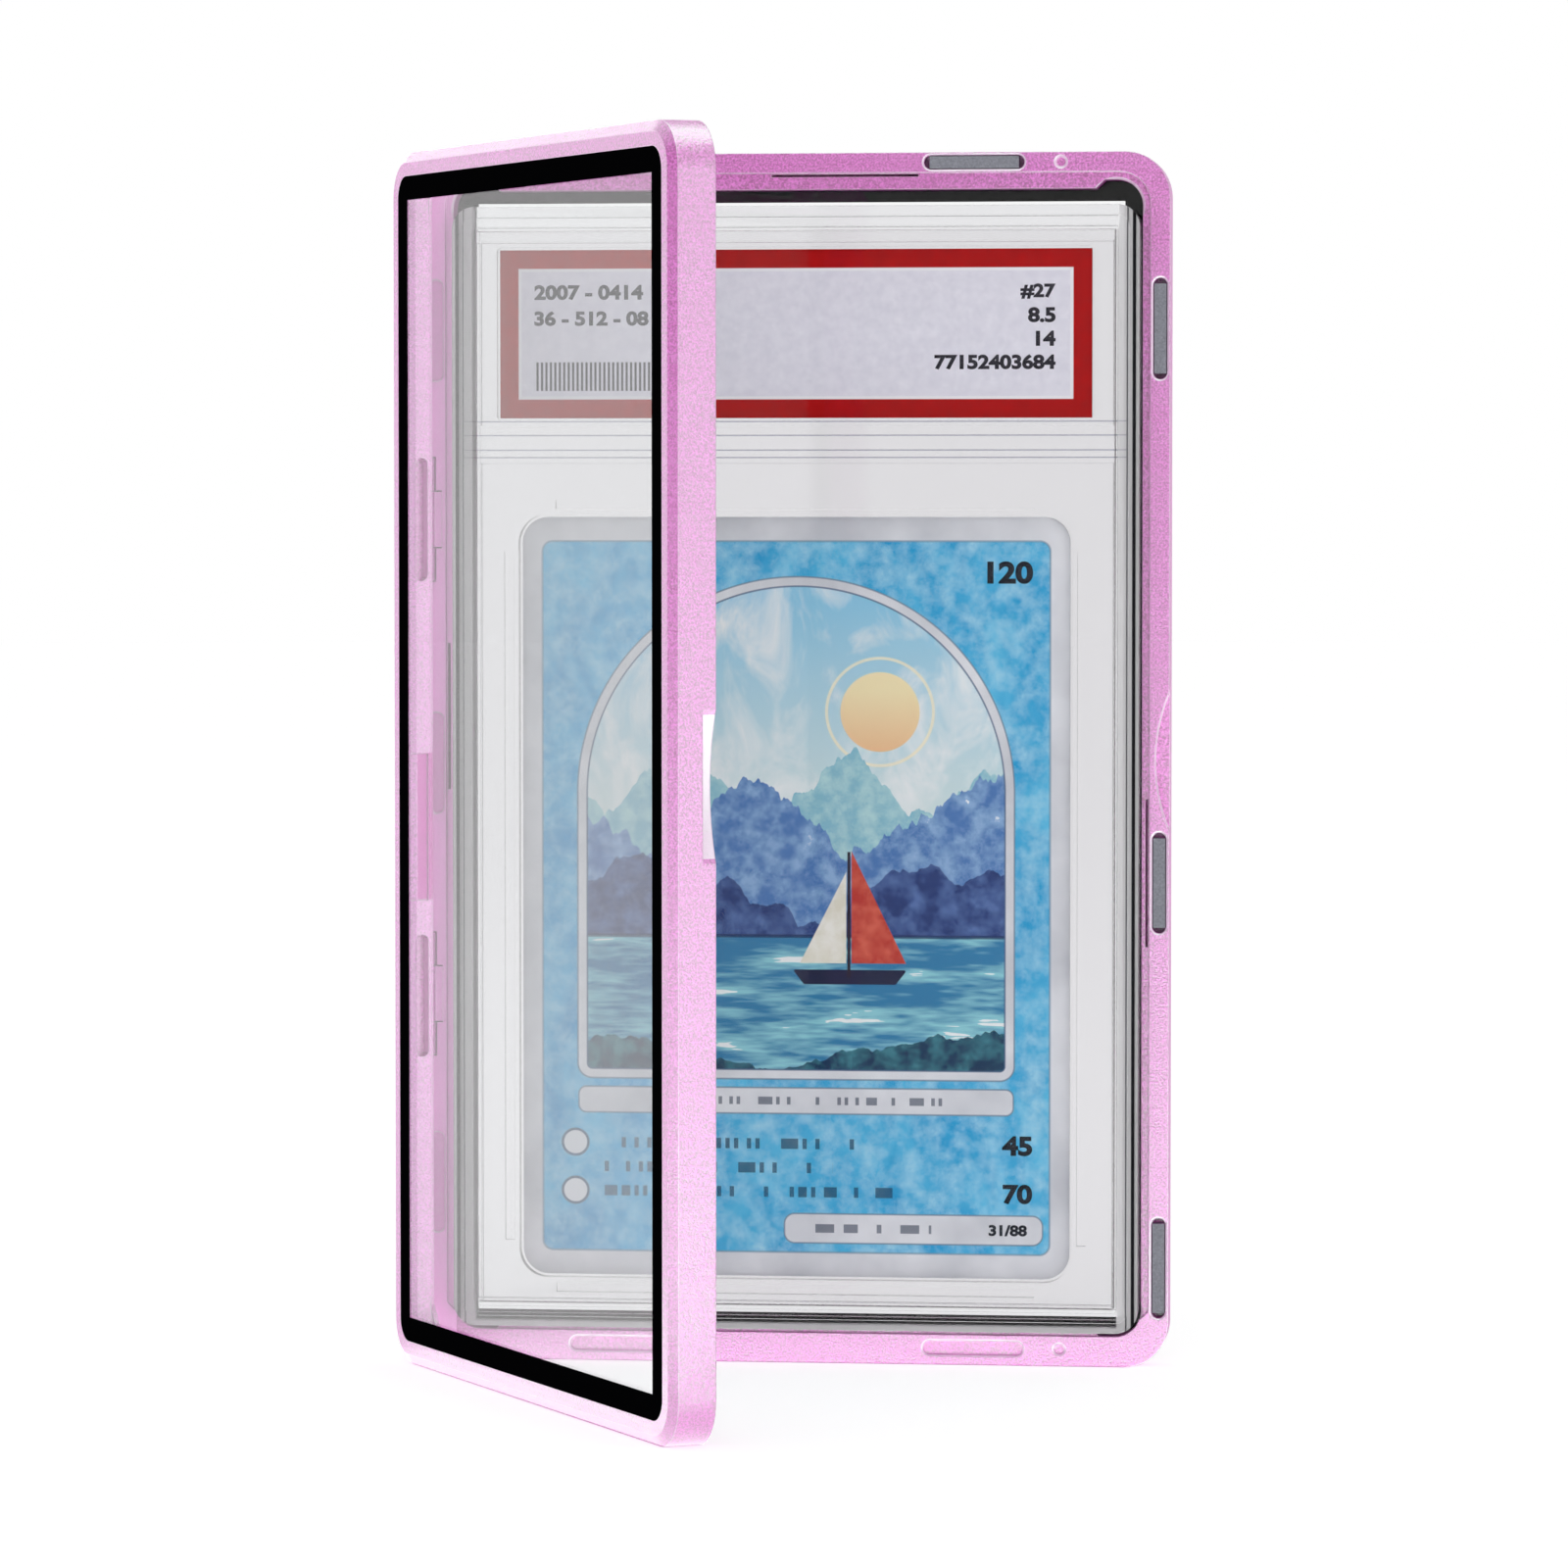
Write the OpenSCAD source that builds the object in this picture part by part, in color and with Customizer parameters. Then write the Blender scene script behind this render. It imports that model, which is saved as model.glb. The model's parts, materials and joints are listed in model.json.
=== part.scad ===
// Magnetic display case for one graded trading card: a rear tray and a hinged front door,
// each a milled aluminium frame with a flush window, round a clear slab that holds the card.
// World frame: X across, Y from the front to the back, Z up, with the origin in the middle of
// the tray's lower edge face, which the case stands on.
// Each half is drawn lying down: x across, y up the case, z outwards from the hinge plane.

/* [Card] */
// Width of the card
card_w = 63; // [56:0.5:66]
// Height of the card
card_h = 88; // [80:0.5:90]
// Thickness of the card
card_t = 0.35; // [0.3:0.05:1]
// Corner radius of the card
card_corner_r = 3; // [1:0.25:4]
// Height of the card's lower edge above the bottom of the slab
card_lift = 6; // [5.5:0.25:8]

/* [Label] */
// Width of the insert frame beside the label
label_edge = 2.3; // [1.6:0.1:8]
// Height of the label
label_h = 19.4; // [12:0.2:21]
// Thickness of the label
label_t = 0.4; // [0.2:0.05:0.6]
// Distance from the top of the slab down to the label
label_drop = 5; // [4.6:0.2:8]

/* [Slab] */
// Width of the slab that the case holds
slab_w = 79; // [78:0.5:90]
// Height of the slab
slab_h = 129.8; // [128:0.2:145]
// Thickness of the slab
slab_t = 6.4; // [6:0.1:8]
// Outer corner radius of the slab
slab_corner_r = 2.6; // [1.5:0.1:3.5]
// Width of the wall round the inside of the slab
slab_wall = 2.8; // [2:0.1:3]
// Thickness of each clear face of the slab
slab_face_t = 1.5; // [1.3:0.1:2]
// Width of each of the two edge steps on a face of the slab
slab_step_w = 1.2; // [0.4:0.1:1.2]
// Height of each of those edge steps
slab_step_h = 0.4; // [0.1:0.05:0.6]
// Depth of the shallow panels over the label and the card
panel_d = 0.25; // [0.1:0.05:0.4]
// Margin of the label's panel above and below the label
panel_margin = 0.9; // [0.4:0.1:1.6]
// Height of the bar between the two panels
panel_bar = 4.3; // [1:0.1:6]
// Width of the edge beside the panels
panel_edge = 0.5; // [0.3:0.05:1]
// Gap between the two shells round the weld
weld_gap = 0.04; // [0.02:0.01:0.1]
// Gap between the insert frame and the shells
insert_gap = 0.1; // [0.05:0.01:0.2]
// Gap between the card or the label and its pocket in the insert frame
paper_gap = 0.3; // [0.1:0.05:0.5]
// Gap between the card or the label and its shelf
shelf_gap = 0.02; // [0.01:0.01:0.05]
// Width of the shelf under the edges of the card and the label
shelf_w = 1.2; // [0.5:0.1:2]
// Height of the card's shelf above the back of the insert frame
card_shelf = 1.6; // [0.8:0.1:2]
// Height of the label's shelf above the back of the insert frame
label_shelf = 2.2; // [0.8:0.1:2.4]
// Width of the four flex grooves round the card's pocket
flex_w = 1.1; // [0.4:0.1:1.4]
// Distance from the card's pocket to the flex grooves
flex_gap = 0.6; // [0.4:0.1:1]
// Depth of the flex grooves
flex_d = 0.8; // [0.2:0.05:1.2]
// Distance from the card's corners to the ends of the flex grooves
flex_end = 4; // [2:0.1:8]

/* [Frame] */
// Free width beside the slab, on each side
slab_side_gap = 0.2; // [0.1:0.05:1]
// Free height above the slab
slab_top_gap = 1.9; // [0.5:0.1:4]
// Free depth between the slab and the closed door's window border
slab_play = 1.1; // [0.3:0.1:3]
// Clearance between the slab and what it stands and leans on
seat_gap = 0.05; // [0.02:0.01:0.1]
// Width of the rim where the halves meet
rim_w = 2.3; // [2.2:0.05:3.5]
// Extra width of the rim along the bottom edge
foot_extra = 1.2; // [0.4:0.1:2]
// Width of the step inside the rim
step_w = 0.9; // [0.7:0.1:1.5]
// Depth of that step
step_d = 0.55; // [0.3:0.05:1]
// Height of the lower end of the step above the bottom of the case
step_foot = 6.5; // [5:0.1:9]
// Height of the stop bar above the slab
bar_h = 1; // [0.6:0.1:1.6]
// Height of the stop bar below the slab
foot_bar_h = 0.6; // [0.4:0.05:1]
// Length of the corner relief beside each stop bar
relief_w = 5.4; // [4.5:0.1:9]
// Depth from the hinge plane to the window border in the tray
tray_depth = 3.75; // [3.5:0.05:5]
// Gap between the rims of the closed halves
parting_gap = 0.1; // [0.06:0.01:0.2]
// Outer corner radius of the case
corner_r = 5.2; // [4.8:0.1:8]
// Corner radius inside the rim
step_corner_r = 3.6; // [3.2:0.1:5]
// Corner radius of the slab's cavity
cavity_corner_r = 3; // [2:0.1:3.4]
// Chamfer round the four corners of the cavity
cavity_chamfer = 0.25; // [0.1:0.05:0.4]
// Width of the chamfer on each outer face
chamfer_face = 1.2; // [0.4:0.1:1.6]
// Depth of that chamfer down the sides
chamfer_side = 0.75; // [0.2:0.05:0.9]

/* [Windows] */
// Thickness of the window panes
glass_t = 1.1; // [0.8:0.05:2]
// Thickness of the black border over and round each pane
tape_t = 0.15; // [0.1:0.05:0.3]
// Thickness of the glue line between a pane and what it touches
glue_gap = 0.02; // [0.01:0.01:0.05]
// Width of the frame's lip from the side of the case to the pane's recess
lip_w = 2.75; // [2.4:0.05:3]
// Visible width of the black border
border_w = 2.75; // [2:0.05:6]
// Corner radius of the pane's recess
window_corner_r = 2.6; // [1.5:0.1:3.5]

/* [Magnets] */
// Length of a bar magnet
magnet_l = 10.3; // [6:0.1:11]
// Width of a bar magnet
magnet_w = 1.4; // [1:0.05:1.5]
// Height of a bar magnet
magnet_h = 2; // [1:0.1:2.2]
// Free length at the two ends of a magnet in its pocket
pocket_spare = 1.3; // [0.4:0.1:2]
// Free width beside a magnet in its pocket, in all
pocket_side = 0.2; // [0.1:0.05:0.3]
// Depth of a magnet's face below the rim
magnet_sink = 0.15; // [0.05:0.05:0.5]
// Depth of the pockets that hold no magnet
blank_depth = 0.6; // [0.4:0.05:2.4]
// Chamfer round the mouth of each pocket
pocket_chamfer = 0.2; // [0.05:0.05:0.25]
// Height of the bottom pockets' centre line
line_foot = 1.95; // [1.9:0.05:2.3]
// Distance of the top and bottom pockets from the middle of the case
pocket_x = 20.3; // [12:0.1:26]
// Height of the lower pocket on the free side
free_low_z = 11.5; // [9:0.1:16]
// Distance of the middle pocket on the free side below the middle of the case
free_mid_drop = 14; // [12:0.1:22]
// Height of the lower pocket on the hinge side
hinge_low_z = 20.6; // [10:0.1:26]
// Distance of the middle pocket on the hinge side below the middle of the case
hinge_mid_drop = 0.5; // [-6:0.1:6]
// Distance of both upper side pockets below the top of the case
high_drop = 20.3; // [15:0.1:26]

/* [Small features] */
// Distance of the locating dimples from the middle of the case
dimple_x = 30.3; // [28:0.1:32]
// Diameter of a locating dimple
dimple_d = 1.1; // [0.6:0.1:1.3]
// Depth of a locating dimple
dimple_h = 0.5; // [0.3:0.05:1]
// Chamfer of a locating dimple
dimple_chamfer = 0.25; // [0.1:0.05:0.3]
// Length of the thumb notch
notch_l = 16.2; // [10:0.2:24]
// Reach of the thumb notch across the rim
notch_rim = 1.65; // [0.8:0.05:1.9]
// Depth of the thumb notch's flat floor below the rim
notch_depth = 1.5; // [0.6:0.05:2]
// Length of the damper grooves in the frames
groove_l = 17; // [10:0.5:20]
// Width of a damper groove in the tray's step
groove_w = 0.3; // [0.2:0.05:0.5]
// Depth of a damper groove
groove_d = 2.2; // [1:0.1:2.6]
// Distance from the rim to the middle of a damper groove
groove_inset = 0.3; // [0.25:0.05:0.4]
// Depth of the hinge-side recess in the door's wall
recess_d = 0.3; // [0.1:0.05:0.5]
// Depth of that recess's upper edge below the rim
recess_top = 0.95; // [0.6:0.05:1]
// Distance of the top groove's middle from the middle of the case
groove_top_x = 5.3; // [0:0.1:12]
// Distance of the groove on the tray's free side below the middle of the case
groove_free_drop = 12.9; // [-10:0.1:30]
// Distance of the groove on the tray's hinge side above the middle of the case
groove_hinge_rise = 4.9; // [-10:0.1:10]
// Distance of the wall recess on the door's hinge side below the middle of the case
recess_drop = 7.8; // [-5:0.1:10]

/* [Hinges] */
// Angle of the door as it stands here, from closed
door_open = 60; // [0:1:170]
// Distance between the middles of the two hinges
hinge_spacing = 55.2; // [48:0.1:62]
// Height of the point midway between the hinges above the middle of the case
hinge_rise = 0.2; // [-3:0.1:3]
// Radius of a hinge knuckle
knuckle_r = 1; // [0.8:0.05:1.1]
// Diameter of a hinge pin
pin_d = 0.9; // [0.6:0.05:1]
// Radial running clearance of a pin in the door's leaf
pin_gap = 0.03; // [0.02:0.005:0.05]
// Length of the tray leaf's knuckle
knuckle_mid_l = 6.4; // [4:0.1:8]
// Length of each of the door leaf's knuckles
knuckle_end_l = 3.8; // [2:0.1:5]
// End gap between two knuckles
knuckle_gap = 0.1; // [0.05:0.01:0.2]
// Gap between a knuckle and the frames
knuckle_relief = 0.15; // [0.1:0.01:0.25]
// Thickness of a hinge leaf
leaf_t = 0.7; // [0.4:0.05:0.8]
// Depth to which the leaves reach below the rim
leaf_depth = 2.5; // [1.6:0.1:2.6]
// Depth of a leaf's face below the rim
leaf_sink = 0.05; // [0.03:0.01:0.1]
// Thickness of the leaf's bridge from the knuckle
bridge_t = 0.7; // [0.4:0.05:0.9]
// Height of the slot in the inner wall that shows the door leaf
leaf_slot_h = 1.5; // [0.6:0.1:1.6]
// Depth of that slot's middle below the rim
leaf_slot_z = 1.7; // [1.4:0.05:1.8]

/* [Hidden] */
$fn = 64;
large_fn = 96;
cut = 1;
half_gap = parting_gap / 2;
window_t = tape_t + glass_t + 2 * glue_gap;

// The slab sets the cavity, and the cavity sets the case.
cavity_w = slab_w + 2 * slab_side_gap;
cavity_foot = rim_w + foot_extra;
slab_foot = cavity_foot + foot_bar_h;
cavity_top = slab_foot + slab_h + slab_top_gap + bar_h;
case_h = cavity_top + step_w + rim_w;
case_w = cavity_w + 2 * (step_w + rim_w);
half_w = case_w / 2;
tray_t = tray_depth + window_t;
door_depth = slab_t + seat_gap + slab_play - tray_depth;

// Distance from the hinge plane back to the middle of the tray's edge face
origin_y = (half_gap + tray_t - chamfer_side) / 2;

// Centre lines of the magnet pockets on the four rims
line_top = case_h - rim_w / 2;
line_side = half_w - rim_w / 2;
pocket_w = magnet_w + pocket_side;
pocket_l = magnet_l + pocket_spare;
pocket_depth = magnet_h + magnet_sink;
mid_z = case_h / 2;
free_mid_z = mid_z - free_mid_drop;
hinge_mid_z = mid_z - hinge_mid_drop;
high_z = case_h - high_drop;

// The thumb notch is an arc that is notch_l long where it meets the side.
notch_out = (pow(notch_l / 2, 2) - pow(notch_rim, 2)) / (2 * notch_rim);
notch_r = notch_out + notch_rim;

barrel_l = knuckle_mid_l + 2 * (knuckle_gap + knuckle_end_l);
end_knuckle_y = (knuckle_mid_l + knuckle_end_l) / 2 + knuckle_gap;
end_knuckles = [-end_knuckle_y, end_knuckle_y];
leaf_u = knuckle_r + knuckle_relief;
leaf_top = half_gap + leaf_sink;

// Places inside the slab, measured from its back and its lower edge
slab_back = tray_depth - seat_gap;
insert_w = slab_w - 2 * (slab_wall + insert_gap);
insert_h = slab_h - 2 * (slab_wall + insert_gap);
insert_t = slab_t - 2 * (slab_face_t + insert_gap);
insert_z = slab_face_t + insert_gap;
label_w = insert_w - 2 * (label_edge + paper_gap);
card_mid_y = card_lift + card_h / 2;
label_mid_y = slab_h - label_drop - label_h / 2;
label_panel_y = slab_h - label_drop - label_h - panel_margin;

// Pockets that hold a magnet, in both halves alike: name, place, and turn of the bar
MAGNETS = [
    ["magnet_top_left", [-pocket_x, line_top], 0],
    ["magnet_top_right", [pocket_x, line_top], 0],
    ["magnet_side_upper", [line_side, high_z], 90],
    ["magnet_side_middle", [line_side, free_mid_z], 90],
    ["magnet_side_lower", [line_side, free_low_z], 90]
];
// Shallow pockets that are milled too but hold nothing
EMPTY_POCKETS = [
    ["bottom_left", [-pocket_x, line_foot], 0],
    ["bottom_right", [pocket_x, line_foot], 0],
    ["hinge_upper", [-line_side, high_z], 90],
    ["hinge_middle", [-line_side, hinge_mid_z], 90],
    ["hinge_lower", [-line_side, hinge_low_z], 90]
];
HINGES = [
    ["upper", mid_z + hinge_rise + hinge_spacing / 2],
    ["lower", mid_z + hinge_rise - hinge_spacing / 2]
];

TRAY_MAGNETS = [for (m = MAGNETS) str("tray_", m[0])];
DOOR_MAGNETS = [for (m = MAGNETS) str("door_", m[0])];
TRAY_LEAVES = [for (h = HINGES) str("hinge_", h[0], "_tray_leaf")];
DOOR_LEAVES = [for (h = HINGES) str("hinge_", h[0], "_door_leaf")];
PINS = [for (h = HINGES) str("hinge_", h[0], "_pin")];

pink = "#e2a3d3";
black = "#0a0a0a";
steel = "#b8bcc2";
clear_tint = "#dfe8ee";

// Places a lying half into the world

module as_tray() {
    translate([0, -origin_y, 0])
        mirror([0, 1, 0])
            rotate([90, 0, 0])
                children();
}

module as_door() {
    translate([-half_w, -origin_y, 0])
        rotate([0, 0, -door_open])
            translate([half_w, 0, 0])
                rotate([90, 0, 0])
                    children();
}

// A slab part lies with its back at z = 0 and its lower edge at y = 0.
module as_slab() {
    translate([0, slab_back - origin_y, slab_foot])
        rotate([90, 0, 0])
            children();
}

// Outlines

// Rectangle with round corners, centred on x, from y0 to y1
module rounded(w, y0, y1, r) {
    translate([-w / 2 + r, y0])
        square([w - 2 * r, y1 - y0]);
    translate([-w / 2, y0 + r])
        square([w, y1 - y0 - 2 * r]);
    for (x = [-w / 2 + r, w / 2 - r], y = [y0 + r, y1 - r])
        translate([x, y])
            circle(r);
}

// The same with square lower corners
module round_topped(w, y0, y1, r) {
    translate([-w / 2, y0])
        square([w, y1 - y0 - r]);
    translate([-w / 2 + r, y0])
        square([w - 2 * r, y1 - y0]);
    for (x = [-w / 2 + r, w / 2 - r])
        translate([x, y1 - r])
            circle(r);
}

// Cavity that the slab stands in, with a stop bar at the top and the bottom
module cavity_outline() {
    bar_w = cavity_w - 2 * relief_w;
    difference() {
        rounded(cavity_w, cavity_foot, cavity_top, cavity_corner_r);
        stop_bar(bar_w, cavity_top, -bar_h);
        stop_bar(bar_w, cavity_foot, foot_bar_h);
    }
}

// A bar on the cavity's edge at height y, with ends sloped at 45 degrees
module stop_bar(w, y, rise) {
    spread = abs(rise) + cut;
    base = y - sign(rise) * cut;
    polygon([
        [-w / 2 - spread, base],
        [-w / 2, y + rise],
        [w / 2, y + rise],
        [w / 2 + spread, base]
    ]);
}

// Step inside the rim: round at the top, sloped in at its lower ends, and over the lower stop bar
module step_outline() {
    w = cavity_w + 2 * step_w;
    bar_base = cavity_w - 2 * (relief_w - foot_bar_h);
    translate([-bar_base / 2, cavity_foot])
        square([bar_base, step_foot - cavity_foot]);
    round_topped(w, step_foot, cavity_top + step_w, step_corner_r);
    polygon([
        [-w / 2, step_foot],
        [-w / 2 + step_w, step_foot - step_w],
        [w / 2 - step_w, step_foot - step_w],
        [w / 2, step_foot]
    ]);
}

// Recess of the window pane, shrunk by inset
module window_outline(inset) {
    edge = lip_w + inset;
    rounded(case_w - 2 * edge, edge, case_h - edge, window_corner_r - inset);
}

// Frames

// Rounded plate from the rim to the outer face, with a chamfer round the outer face
module chamfered_plate(t) {
    span = case_h - 2 * corner_r;
    run = case_w - 2 * corner_r;
    for (x = [-run / 2, run / 2], y = [corner_r, case_h - corner_r])
        translate([x, y, 0])
            rotate_extrude()
                polygon([
                    [0, half_gap],
                    [corner_r, half_gap],
                    [corner_r, t - chamfer_side],
                    [corner_r - chamfer_face, t],
                    [0, t]
                ]);
    translate([-run / 2, 0, 0])
        rotate([90, 0, 90])
            linear_extrude(run)
                chamfered_profile(0, case_h, t);
    translate([0, case_h - corner_r, 0])
        rotate([90, 0, 0])
            linear_extrude(span)
                chamfered_profile(-half_w, half_w, t);
}

// Cross-section of the plate from one side, a, to the other, b
module chamfered_profile(a, b, t) {
    polygon([
        [a, half_gap],
        [b, half_gap],
        [b, t - chamfer_side],
        [b - chamfer_face, t],
        [a + chamfer_face, t],
        [a, t - chamfer_side]
    ]);
}

// Frame of either half before its small features
module frame_blank(depth) {
    t = depth + window_t;
    difference() {
        chamfered_plate(t);
        translate([0, 0, depth])
            linear_extrude(window_t + cut)
                window_outline(0);
        translate([0, 0, -cut])
            linear_extrude(depth + 2 * cut)
                cavity_outline();
        translate([0, 0, -cut])
            linear_extrude(cut + half_gap + step_d)
                step_outline();
        cavity_corner_chamfers();
    }
}

// Cones that break the edge round the cavity's corners, below the step
module cavity_corner_chamfers() {
    corner_x = cavity_w / 2 - cavity_corner_r;
    low_y = cavity_foot + cavity_corner_r;
    for (x = [-corner_x, corner_x], y = [low_y, cavity_top - cavity_corner_r])
        translate([x, y, half_gap + step_d])
            cylinder(r1 = cavity_corner_r + cavity_chamfer, r2 = cavity_corner_r, h = cavity_chamfer);
}

// Slot with round ends along x
module slot(l, w, h) {
    translate([-(l - w) / 2, -w / 2, 0])
        cube([l - w, w, h]);
    for (x = [-(l - w) / 2, (l - w) / 2])
        translate([x, 0, 0])
            cylinder(d = w, h = h);
}

// Magnet pocket with a chamfered mouth
module pocket_cut(depth) {
    run = pocket_l - pocket_w;
    slot(pocket_l, pocket_w, half_gap + depth);
    translate([0, 0, half_gap + pocket_chamfer]) {
        for (x = [-run / 2, run / 2])
            translate([x, 0, -cut])
                cylinder(r1 = pocket_w / 2 + cut, r2 = pocket_w / 2, h = cut);
        translate([-run / 2, 0, 0])
            rotate([90, 0, 90])
                linear_extrude(run)
                    polygon([
                        [-pocket_w / 2 - cut, -cut],
                        [pocket_w / 2 + cut, -cut],
                        [pocket_w / 2, 0],
                        [-pocket_w / 2, 0]
                    ]);
    }
}

module dimple_cut() {
    reach = dimple_chamfer + cut;
    cylinder(d = dimple_d, h = half_gap + dimple_h);
    translate([0, 0, half_gap - cut])
        cylinder(r1 = dimple_d / 2 + reach, r2 = dimple_d / 2, h = reach);
}

// Features that both halves share: pockets, dimples, thumb notch and hinge seats
module shared_cuts() {
    for (m = MAGNETS)
        translate([m[1][0], m[1][1], 0])
            rotate([0, 0, m[2]])
                pocket_cut(pocket_depth);
    for (m = EMPTY_POCKETS)
        translate([m[1][0], m[1][1], 0])
            rotate([0, 0, m[2]])
                pocket_cut(blank_depth);
    for (y = [line_top, line_foot])
        translate([dimple_x, y, 0])
            dimple_cut();
    translate([half_w + notch_out, mid_z, 0])
        cylinder(r = notch_r, h = half_gap + notch_depth, $fn = large_fn);
    for (h = HINGES)
        translate([-half_w, h[1], 0])
            barrel_relief();
}

// Room for the whole hinge barrel
module barrel_relief() {
    l = barrel_l + 2 * knuckle_relief;
    rotate([90, 0, 0])
        cylinder(r = knuckle_r + knuckle_relief, h = l, center = true);
}

// Seat of a leaf: the tab's pocket and the bridge's channel, for a leaf of length l
module leaf_seat(l) {
    room = l + 2 * knuckle_relief;
    near = leaf_u - knuckle_relief / 2;
    translate([near, -room / 2, -cut])
        cube([leaf_u + leaf_t - near, room, cut + leaf_depth]);
}

// Channels for the bridges of the knuckles that sit at the heights ys
module bridge_seat(ys, l) {
    room = l + 2 * knuckle_relief;
    for (y = ys)
        translate([0, y - room / 2, -cut])
            cube([leaf_u + leaf_t, room, cut + leaf_top + bridge_t + knuckle_relief]);
}

// Narrow groove in the floor of the tray's step, along x, its middle at the origin
module damper_groove() {
    translate([-groove_l / 2, -groove_w / 2, 0])
        cube([groove_l, groove_w, half_gap + step_d + groove_d]);
}

module tray_frame() {
    groove_line = rim_w + groove_inset;
    color(pink)
        as_tray()
            difference() {
                frame_blank(tray_depth);
                shared_cuts();
                for (h = HINGES)
                    translate([-half_w, h[1], 0]) {
                        leaf_seat(knuckle_mid_l);
                        bridge_seat([0], knuckle_mid_l);
                    }
                translate([groove_top_x, case_h - groove_line, 0])
                    damper_groove();
                translate([half_w - groove_line, mid_z - groove_free_drop, 0])
                    rotate([0, 0, 90])
                        damper_groove();
                translate([groove_line - half_w, mid_z + groove_hinge_rise, 0])
                    rotate([0, 0, 90])
                        damper_groove();
            }
}

module door_frame() {
    color(pink)
        as_door()
            difference() {
                frame_blank(door_depth);
                shared_cuts();
                for (h = HINGES)
                    translate([-half_w, h[1], 0]) {
                        leaf_seat(barrel_l);
                        bridge_seat(end_knuckles, knuckle_end_l);
                        leaf_slot();
                    }
                translate([rim_w + step_w - half_w, mid_z - recess_drop, half_gap + recess_top])
                    wall_recess();
            }
}

// Slot from a leaf's seat through the wall into the cavity
module leaf_slot() {
    translate([leaf_u, 0, half_gap + leaf_slot_z])
        rotate([0, 90, 0])
            rotate([0, 0, 90])
                slot(barrel_l, leaf_slot_h, rim_w + step_w - leaf_u + cut);
}

// Shallow recess in the wall of the cavity
module wall_recess() {
    translate([-recess_d, -groove_l / 2, 0])
        cube([recess_d + cut, groove_l, groove_d]);
}

// Windows

module pane(depth) {
    translate([0, 0, depth + glue_gap])
        linear_extrude(glass_t)
            window_outline(tape_t + glue_gap);
}

// Black ring: flat on the outside of the pane, and turned down round its edge
module border(depth) {
    aperture = lip_w + border_w;
    translate([0, 0, depth])
        difference() {
            linear_extrude(window_t)
                window_outline(0);
            translate([0, 0, -cut])
                linear_extrude(window_t - tape_t + cut)
                    window_outline(tape_t);
            translate([-half_w + aperture, aperture, -cut])
                cube([case_w - 2 * aperture, case_h - 2 * aperture, window_t + 2 * cut]);
        }
}

module back_window() {
    color(clear_tint, 0.4)
        as_tray()
            pane(tray_depth);
}

module back_window_border() {
    color(black)
        as_tray()
            border(tray_depth);
}

module front_window() {
    color(clear_tint, 0.4)
        as_door()
            pane(door_depth);
}

module front_window_border() {
    color(black)
        as_door()
            border(door_depth);
}

// Magnets

module magnet(m) {
    color(steel)
        translate([m[1][0], m[1][1], half_gap + magnet_sink])
            rotate([0, 0, m[2]])
                translate([-magnet_l / 2, -magnet_w / 2, 0])
                    cube([magnet_l, magnet_w, magnet_h]);
}

// Hinges, drawn with the axis on x = 0, z = 0 and the middle at y = 0

module knuckle(l) {
    rotate([90, 0, 0])
        cylinder(r = knuckle_r, h = l, center = true);
    translate([0, -l / 2, leaf_top])
        cube([leaf_u + leaf_t, l, bridge_t]);
}

module leaf_tab(l) {
    translate([leaf_u, -l / 2, leaf_top])
        cube([leaf_t, l, leaf_depth - leaf_top]);
}

module pin_bore(clearance) {
    rotate([90, 0, 0])
        cylinder(r = pin_d / 2 + clearance, h = barrel_l + 2 * cut, center = true);
}

module tray_leaf(z) {
    color(steel)
        as_tray()
            translate([-half_w, z, 0])
                difference() {
                    union() {
                        knuckle(knuckle_mid_l);
                        leaf_tab(knuckle_mid_l);
                    }
                    pin_bore(0);
                }
}

module door_leaf(z) {
    color(steel)
        as_door()
            translate([-half_w, z, 0])
                difference() {
                    union() {
                        for (y = end_knuckles)
                            translate([0, y, 0])
                                knuckle(knuckle_end_l);
                        leaf_tab(barrel_l);
                    }
                    pin_bore(pin_gap);
                }
}

module hinge_pin(z) {
    color(steel)
        as_tray()
            translate([-half_w, z, 0])
                rotate([90, 0, 0])
                    cylinder(d = pin_d, h = barrel_l, center = true);
}

// Slab

// Outside of one shell, from its weld face to its outer face at z = t
module shell_body(t) {
    weld_z = weld_gap / 2;
    for (i = [0, 1, 2])
        translate([0, 0, weld_z])
            linear_extrude(t - weld_z - (2 - i) * slab_step_h)
                rounded(
                    slab_w - 2 * i * slab_step_w,
                    i * slab_step_w,
                    slab_h - i * slab_step_w,
                    max(slab_corner_r - i * slab_step_w, slab_step_h)
                );
}

// One clear shell with its inside and the panels over the label and the card
module shell() {
    t = slab_t / 2;
    inner_w = slab_w - 2 * slab_wall;
    margin = 2 * slab_step_w + panel_edge;
    panel_w = slab_w - 2 * margin;
    label_top = label_panel_y + label_h + 2 * panel_margin;
    difference() {
        shell_body(t);
        translate([-inner_w / 2, slab_wall, -cut])
            cube([inner_w, slab_h - 2 * slab_wall, t - slab_face_t + cut]);
        for (span = [[margin, label_panel_y - panel_bar], [label_panel_y, label_top]])
            translate([-panel_w / 2, span[0], t - panel_d])
                cube([panel_w, span[1] - span[0], panel_d + cut]);
    }
}

module slab_front_shell() {
    color(clear_tint, 0.4)
        as_slab()
            translate([0, 0, slab_t / 2])
                shell();
}

module slab_back_shell() {
    color(clear_tint, 0.4)
        as_slab()
            translate([0, 0, slab_t / 2])
                mirror([0, 0, 1])
                    shell();
}

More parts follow.
